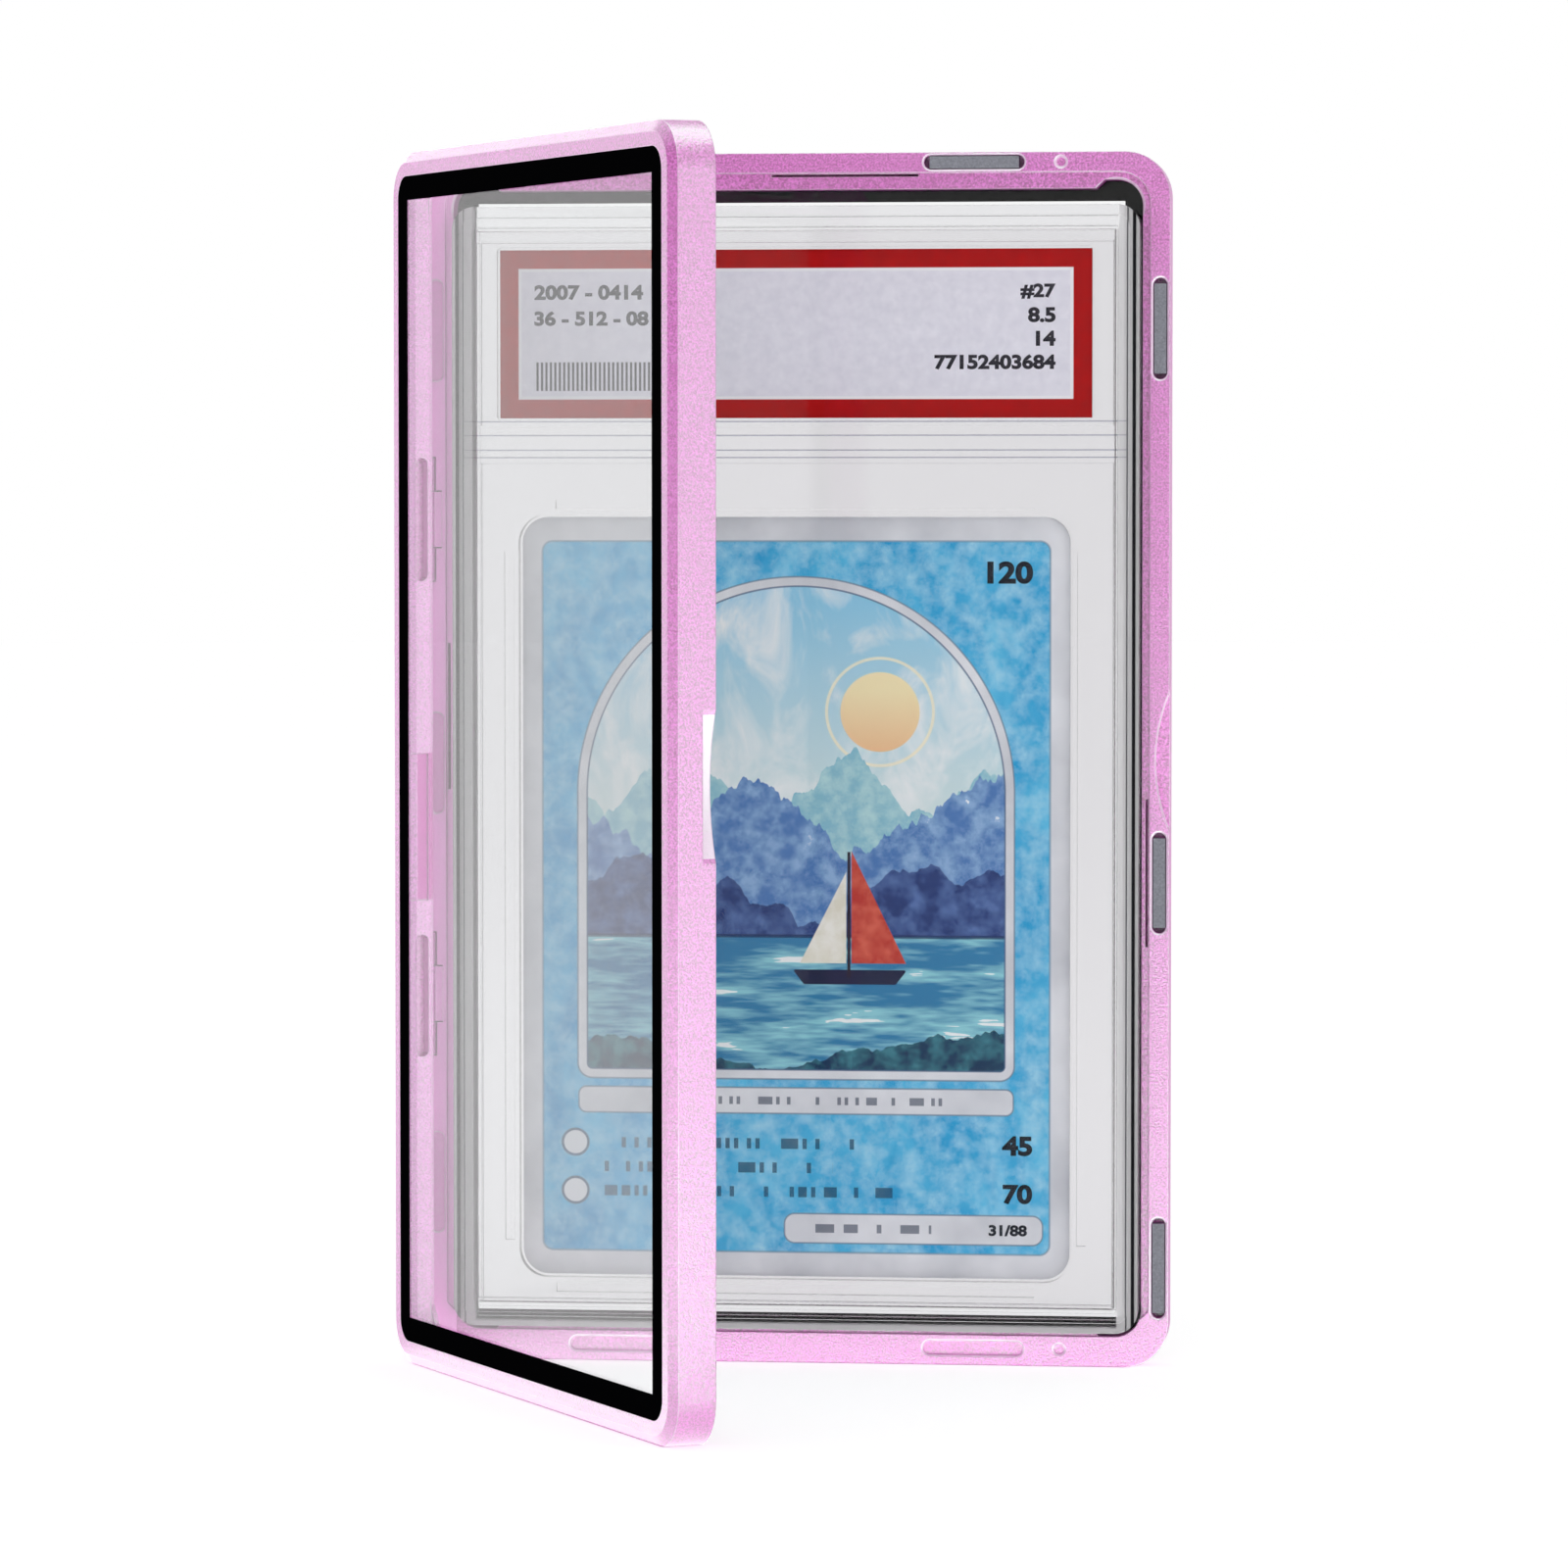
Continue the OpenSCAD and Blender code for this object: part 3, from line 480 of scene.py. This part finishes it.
class Card(Print):
    """A printed card: silver border, blue field, an arched picture of a lake, and plain bars."""

    def __init__(self):
        super().__init__("card_stock", "trading_card", rgb(212, 214, 220), 0.38)
        self.set("Specular IOR Level", 0.15)
        cloud = self.noise(70, 4.0, 0.6)
        self.fine = self.noise(420, 5.0, 0.65)
        self.wash = self.noise(150, 5.0, 0.6, (1, 1, 0.6), 0.8)
        self.foil = self.mix(self.ramp(cloud, 0.35, 0.65), rgb(208, 210, 216), rgb(240, 241, 245))
        self.lit = self.ramp(self.fine, 0.4, 0.65)
        self.field = self.box(0, 0, 58.4, 82.4, 1.2)
        self.arch = self.either(self.box(0, -4, 48, 32, 0.6), self.disc(0, 12, 24))
        back = self.back()
        self.front_field()
        self.sky()
        self.hills()
        self.lake()
        self.boat()
        self.paint(self.outline(self.arch, 0.2), rgb(80, 104, 140), 0.8)
        self.plates()
        self.finished(back)
        self.set("Roughness", self.ramp(self.fine, 0.3, 0.7, 0.32, 0.46))

    def back(self):
        """Plain blue back with a pale frame line and two rings."""
        self.ink = self.foil
        self.paint(self.field, self.mix(self.ramp(self.wash, 0.3, 0.7), rgb(24, 70, 138), rgb(44, 104, 176)))
        self.paint(self.outline(self.grown(self.field, -3), 0.5), rgb(200, 216, 234))
        self.paint(self.outline(self.disc(0, 0, 17), 0.5), rgb(200, 216, 234))
        self.paint(self.outline(self.disc(0, 0, 14), 1.6), rgb(150, 184, 218))
        return self.ink

    def front_field(self):
        """Blue field, as if washed on with a wide brush."""
        self.ink = self.foil
        deep = self.mix(self.ramp(self.wash, 0.3, 0.7), rgb(22, 156, 216), rgb(104, 204, 242))
        self.paint(self.field, self.mix(self.ramp(self.fine, 0.4, 0.75), deep, rgb(170, 222, 244)))
        self.paint(self.outline(self.field, 0.25), rgb(120, 150, 175), 0.6)

    def sky(self):
        """Silver frame of the picture, sky with clouds, and a low sun in a ring."""
        frame_edge = self.grown(self.arch, 1.1)
        self.paint(frame_edge, self.foil)
        self.paint(self.outline(frame_edge, 0.2), rgb(110, 130, 155), 0.7)
        sky = self.mix(self.ramp(self.v, 4, 34), rgb(232, 243, 236), rgb(150, 210, 238))
        self.paint(self.arch, self.mix(self.ramp(self.wash, 0.45, 0.7), sky, rgb(250, 252, 252)))
        sun = self.disc(9.5, 21.5, 4.6)
        self.paint(self.both(self.arch, self.outline(self.grown(sun, 1.6), 0.35)), rgb(255, 246, 214), 0.8)
        self.paint(self.both(self.arch, sun), rgb(255, 238, 190))
        self.paint(self.both(self.arch, sun), rgb(244, 170, 120), self.ramp(self.v, 24, 17, 0, 0.6))

    def hills(self):
        """Three ranges of hills, the nearer the darker, with snow on the middle one."""
        far = self.both(self.arch, self.ridge(3.5, 13, 9.5, 3.0, 0.5))
        self.paint(far, self.mix(self.lit, rgb(140, 196, 214), rgb(188, 226, 228)))
        middle = self.both(self.arch, self.ridge(-1.5, 15, 12.5, 17.0, 0.6))
        self.paint(middle, self.mix(self.lit, rgb(84, 128, 190), rgb(150, 186, 224)))
        snow = self.both(middle, self.math("SUBTRACT", self.math("MULTIPLY", self.fine, -14), -9.5))
        self.paint(snow, rgb(246, 250, 252), self.ramp(self.v, 4, 11))
        near = self.both(self.arch, self.ridge(-8.5, 13, 15.5, 31.0, 0.55))
        self.paint(near, self.mix(self.lit, rgb(46, 66, 122), rgb(92, 120, 178)))

    def lake(self):
        """Lake with streaks of light, its far shore line and a near bank."""
        water = self.grown(self.v, -4.5)
        lake = self.both(self.arch, water)
        ripple = self.noise(260, 3.0, 0.6, (0.35, 1, 2.4))
        self.paint(lake, self.mix(self.ramp(ripple, 0.42, 0.6), rgb(58, 132, 178), rgb(150, 214, 224)))
        self.paint(self.both(lake, self.ramp(ripple, 0.62, 0.64, 1, -1)), rgb(248, 252, 252))
        self.paint(self.both(self.arch, self.outline(water, 0.4)), rgb(34, 52, 96), 0.8)
        bank = self.both(self.arch, self.ridge(-24.5, 9, 21.0, 44.0, 0.6))
        self.paint(bank, self.mix(self.lit, rgb(30, 62, 92), rgb(70, 136, 150)))

    def boat(self):
        """A small boat with a red sail, a pale jib and a mast."""
        hull = self.both(self.box(6, -9.2, 13, 1.7, 0.2), self.half(0, -9.2, 308), self.half(12, -9.2, 52))
        sail = self.both(self.half(6.2, -7.6, 270), self.half(6.2, -7.6, 0), self.half(6.2, 5.4, 116))
        jib = self.both(self.half(5.6, -7.6, 90), self.half(5.6, -7.6, 0), self.half(5.6, 3.0, 243))
        self.paint(hull, rgb(40, 44, 74))
        self.paint(sail, self.mix(self.lit, rgb(196, 60, 52), rgb(226, 104, 84)))
        self.paint(jib, self.mix(self.lit, rgb(236, 232, 214), rgb(252, 250, 240)))
        self.paint(self.box(5.9, -2.0, 0.35, 14.6), rgb(52, 44, 56))

    def plates(self):
        """Silver plates, rows of short marks and two rings under the picture."""
        ink = rgb(26, 52, 84)
        plates = self.either(self.box(0, -23.6, 50, 3.0, 0.9), self.box(13.4, -38.4, 30, 3.4, 1.2))
        self.paint(plates, self.foil)
        self.paint(self.outline(plates, 0.2), rgb(110, 130, 155), 0.7)
        self.paint(self.bars(self.box(3, -23.6, 30, 0.9), 0.42, 3.0, 0.3), ink, 0.7)
        self.paint(self.bars(self.box(8.5, -38.4, 14, 1.0), 0.55, 9.0, 0.4), ink, 0.7)
        for row, (height, reach) in enumerate(((-28.6, 30), (-31.4, 26), (-34.2, 33))):
            marks = self.box(reach / 2 - 22, height, reach, 1.2)
            self.paint(self.bars(marks, 0.5, 5.0 * row, 0.32), ink, 0.75)
        for v in (-28.6, -34.2):
            ring = self.disc(-25.4, v, 1.5)
            self.paint(ring, rgb(236, 240, 244))
            self.paint(self.outline(ring, 0.3), rgb(90, 120, 150))


def ink_finish(name, color):
    finish = Finish(name, color, 0.5)
    fine = finish.noise(3000)
    finish.set("Roughness", finish.ramp(fine, 0.3, 0.7, 0.45, 0.6))
    return finish


def dress_cad_nodes():
    names = list(frame["nodes"])
    door_outward = (-math.sin(DOOR_ANGLE), -math.cos(DOOR_ANGLE), 0)
    door_across = (math.cos(DOOR_ANGLE), -math.sin(DOOR_ANGLE), 0)
    tray_metal = Anodised("anodised_tray", (0, 1, 0), (1, 0, 0))
    door_metal = Anodised("anodised_door", door_outward, door_across)
    dress(["tray_frame", "hinge_upper_tray_leaf", "hinge_lower_tray_leaf"], tray_metal)
    dress(["door_frame", "hinge_upper_door_leaf", "hinge_lower_door_leaf"], door_metal)
    dress(["back_window", "front_window"], window_finish())
    dress(["back_window_border", "front_window_border"], border_finish())
    dress([n for n in names if "_magnet_" in n], magnet_finish())
    dress(["hinge_upper_pin", "hinge_lower_pin"], steel_finish())
    dress(["slab_back_shell"], slab_finish("slab_clear_back", rgb(240, 239, 240), 0.0, SLAB_WALL))
    dress(["slab_front_shell"], slab_finish("slab_clear_front", rgb(251, 251, 252), 0.0, SLAB_WALL))
    dress(["card_insert_frame"], slab_finish("insert_frosted", rgb(245, 244, 245), 0.05, 0.0))
    dress(["slab_label"], label_finish())
    dress(["trading_card"], Card())


def flat_figures(text):
    """The outline of a row of figures as a flat mesh, 1 high, with its left end at x = 0."""
    curve = bpy.data.curves.new("figures", "FONT")
    curve.body = text
    curve.offset = FIGURE_BOLD
    curve.resolution_u = 6
    row = bpy.data.objects.new("figures", curve)
    bpy.context.scene.collection.objects.link(row)
    mesh = bpy.data.meshes.new_from_object(row.evaluated_get(bpy.context.evaluated_depsgraph_get()))
    bpy.data.objects.remove(row)
    bpy.data.curves.remove(curve)
    shape = bmesh.new()
    shape.from_mesh(mesh)
    bpy.data.meshes.remove(mesh)
    bmesh.ops.remove_doubles(shape, verts=shape.verts, dist=1e-5)
    low = min(v.co.y for v in shape.verts)
    high = max(v.co.y for v in shape.verts)
    left = min(v.co.x for v in shape.verts)
    for vert in shape.verts:
        across = FIGURE_WIDTH * (vert.co.x - left) / (high - low)
        vert.co = Vector((across, (vert.co.y - low) / (high - low), 0))
    return shape


def figures(name, node, finish, rows):
    """Rows of figures on the front of a sheet. A row: text, right or left end, height of its middle, size."""
    low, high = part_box(node)
    middle_x, middle_z = (low[0] + high[0]) / 2, (low[2] + high[2]) / 2
    whole = bmesh.new()
    for text, end, (u, v), size in rows:
        shape = flat_figures(text)
        width = max(vert.co.x for vert in shape.verts)
        start = u - size * width if end == "right" else u
        for vert in shape.verts:
            x = middle_x + (start + size * vert.co.x) * MM
            z = middle_z + (v + size * (vert.co.y - 0.5)) * MM
            vert.co = Vector((x, low[1] - INK_GAP, z))
        raised = bmesh.ops.extrude_face_region(shape, geom=shape.faces[:])
        moved = [part for part in raised["geom"] if isinstance(part, bmesh.types.BMVert)]
        bmesh.ops.translate(shape, verts=moved, vec=(0, -INK_T, 0))
        part = bpy.data.meshes.new("part")
        shape.to_mesh(part)
        shape.free()
        whole.from_mesh(part)
        bpy.data.meshes.remove(part)
    bmesh.ops.recalc_face_normals(whole, faces=whole.faces)
    mesh = bpy.data.meshes.new(name)
    whole.to_mesh(mesh)
    whole.free()
    mesh.materials.append(finish.material)
    piece = bpy.data.objects.new(name, mesh)
    bpy.context.scene.collection.objects.link(piece)
    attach(piece, TRAY_BODY)


def prints():
    label_rows = (
        ("#27", "right", (29.8, 4.8), 1.75),
        ("8.5", "right", (29.8, 2.1), 1.75),
        ("14", "right", (29.8, -0.6), 1.75),
        ("77152403684", "right", (29.8, -3.3), 1.75),
        ("2007 - 0414", "left", (-30.0, 4.8), 1.75),
        ("36 - 512 - 08 - 771", "left", (-30.0, 1.8), 1.75),
    )
    label_ink = ink_finish("label_ink", rgb(38, 35, 48))
    figures("label_figures", "slab_label", label_ink, label_rows)
    card_rows = (
        ("120", "right", (27.2, 37.6), 2.6),
        ("45", "right", (27.2, -28.6), 2.3),
        ("70", "right", (27.2, -34.2), 2.3),
        ("31/88", "right", (26.6, -38.4), 1.3),
    )
    card_ink = ink_finish("card_ink", rgb(22, 30, 44))
    figures("card_figures", "trading_card", card_ink, card_rows)


def patch(sky, direction, outer, inner, base, peak):
    """Strength base all round and peak near a direction, with cosines as the limits between them."""
    coordinates = sky.node("ShaderNodeTexCoord").outputs["Generated"]
    inputs = {0: coordinates, 1: Vector(direction).normalized()}
    toward = sky.node("ShaderNodeVectorMath", inputs, operation="DOT_PRODUCT").outputs["Value"]
    inputs = {"Value": toward, "From Min": outer, "From Max": inner, "To Min": base, "To Max": peak}
    return sky.node("ShaderNodeMapRange", inputs, interpolation_type="SMOOTHSTEP").outputs[0]


def world_light():
    """White all round, and brighter in front for matt surfaces. Gloss sees a darker part behind the
    camera, to the left and above the horizon."""
    world = bpy.data.worlds.new("studio")
    world.use_nodes = True
    bpy.context.scene.world = world
    sky = NodeTree(world.node_tree)

    def mixed(factor, a, b):
        return sky.node("ShaderNodeMix", {0: factor, 2: a, 3: b}).outputs[0]

    gloss = patch(sky, (-0.56, -0.76, 0.34), 0.35, 0.74, 1.0, 0.06)
    matt = patch(sky, (-0.05, -1.0, 0.0), 0.3, 0.95, 0.45, 1.15)
    seen, behind_glass, glossy = sky.rays()
    lit = mixed(behind_glass, mixed(glossy, matt, gloss), sky.math("MULTIPLY", matt, 1.45))
    plain = sky.math("SUBTRACT", seen, behind_glass)
    background = sky.nodes["Background"].inputs
    sky.put(background["Strength"], mixed(plain, lit, 1.0))
    sky.put(background["Color"], (1, 1, 1, 1))


def floor():
    """A pale floor that keeps the object's shadow."""
    mesh = bpy.data.meshes.new("floor")
    shape = bmesh.new()
    bmesh.ops.create_circle(shape, cap_ends=True, segments=96, radius=4.0)
    shape.to_mesh(mesh)
    shape.free()
    ground = bpy.data.objects.new("floor", mesh)
    ground.location = (0, 0, cad_box[0][2] - 0.02 * MM)
    bpy.context.scene.collection.objects.link(ground)
    ground.visible_glossy = False
    finish = Finish("floor_white", rgb(214, 214, 214), 0.9)
    finish.set("Specular IOR Level", 0.0)
    seen, behind_glass, _ = finish.rays()
    glow = finish.ramp(seen, 0.0, 1.0, 0.4, 0.635)
    finish.set("Emission Color", (1, 1, 1, 1))
    finish.set("Emission Strength", finish.math("ADD", glow, finish.math("MULTIPLY", behind_glass, 0.8)))
    mesh.materials.append(finish.material)


def lamp(name, place, target, width, height, power):
    data = bpy.data.lights.new(name, "AREA")
    data.shape = "RECTANGLE"
    data.size, data.size_y = width, height
    data.energy = power
    made = bpy.data.objects.new(name, data)
    made.location = place
    made.rotation_euler = (Vector(target) - Vector(place)).to_track_quat("-Z", "Y").to_euler()
    bpy.context.scene.collection.objects.link(made)
    return made


def floor_card(name, left, right, near, far, power):
    """A card on the floor that shines up, between limits along x and distances in front of the case."""
    place = ((left + right) / 2, -(near + far) / 2, 0.1 * MM)
    card = lamp(name, place, (place[0], place[1], 1.0), right - left, far - near, power)
    card.rotation_euler = (math.pi, 0, 0)
    return card


def lamps():
    """Two soft lamps, and cards that put a soft gloss on the metal alone. The two on the floor right
    under the case light one half each."""
    middle = (0, 0, 0.07)
    lamp("left_softbox", (-0.75, 0.15, 0.55), middle, 0.6, 0.4, 1.2)
    lamp("right_softbox", (0.78, -0.62, 0.3), middle, 0.7, 0.6, 1.2)
    metal = bpy.data.collections.new("metal")
    tray_metal = bpy.data.collections.new("tray_metal")
    door_metal = bpy.data.collections.new("door_metal")
    for name, node in frame["nodes"].items():
        if name.endswith(("_frame", "_leaf")) and name != "card_insert_frame":
            metal.objects.link(node)
            (door_metal if "door" in name else tray_metal).objects.link(node)
    cards = (
        floor_card("near_floor_card", -0.15, 0.3, 0.001, 0.1, 1.05),
        floor_card("door_floor_card", -0.15, 0.02, 0.001, 0.1, 0.13),
        floor_card("middle_floor_card", -0.35, 0.08, 0.1, 0.3, 2.4),
        floor_card("right_floor_card", 0.08, 0.45, 0.1, 0.3, 0.8),
        floor_card("far_floor_card", -0.35, 0.45, 0.3, 0.7, 2.1),
        lamp("left_back_card", (-0.65, 0.46, 0.07), middle, 0.5, 0.5, 1.15),
        lamp("high_back_card", (-0.4, 0.8, 0.43), middle, 0.4, 0.3, 2.0),
        lamp("right_front_card", (0.62, -0.6, 0.07), middle, 0.5, 0.5, 2.0),
        lamp("top_card", (0, -0.1, 0.95), middle, 1.2, 1.2, 26.0),
    )
    halves = {"near_floor_card": tray_metal, "door_floor_card": door_metal}
    for card in cards:
        card.light_linking.receiver_collection = halves.get(card.name, metal)
        card.visible_camera = False
        card.visible_diffuse = False
        card.visible_transmission = False


def camera():
    data = bpy.data.cameras.new("photo_camera")
    data.lens = CAMERA_LENS
    data.sensor_width = SENSOR_WIDTH
    data.clip_start = 0.01
    made = bpy.data.objects.new("photo_camera", data)
    made.location = CAMERA_FROM_HINGE_PLANE + Vector((0, HINGE.y, 0))
    made.rotation_euler = (math.pi / 2 + CAMERA_PITCH, 0, CAMERA_YAW)
    bpy.context.scene.collection.objects.link(made)
    bpy.context.scene.camera = made


scene = bpy.context.scene
scene.view_settings.view_transform = "Standard"
scene.cycles.max_bounces = 24
scene.cycles.transmission_bounces = 24
camera()
world_light()
floor()
lamps()
dress_cad_nodes()
prints()
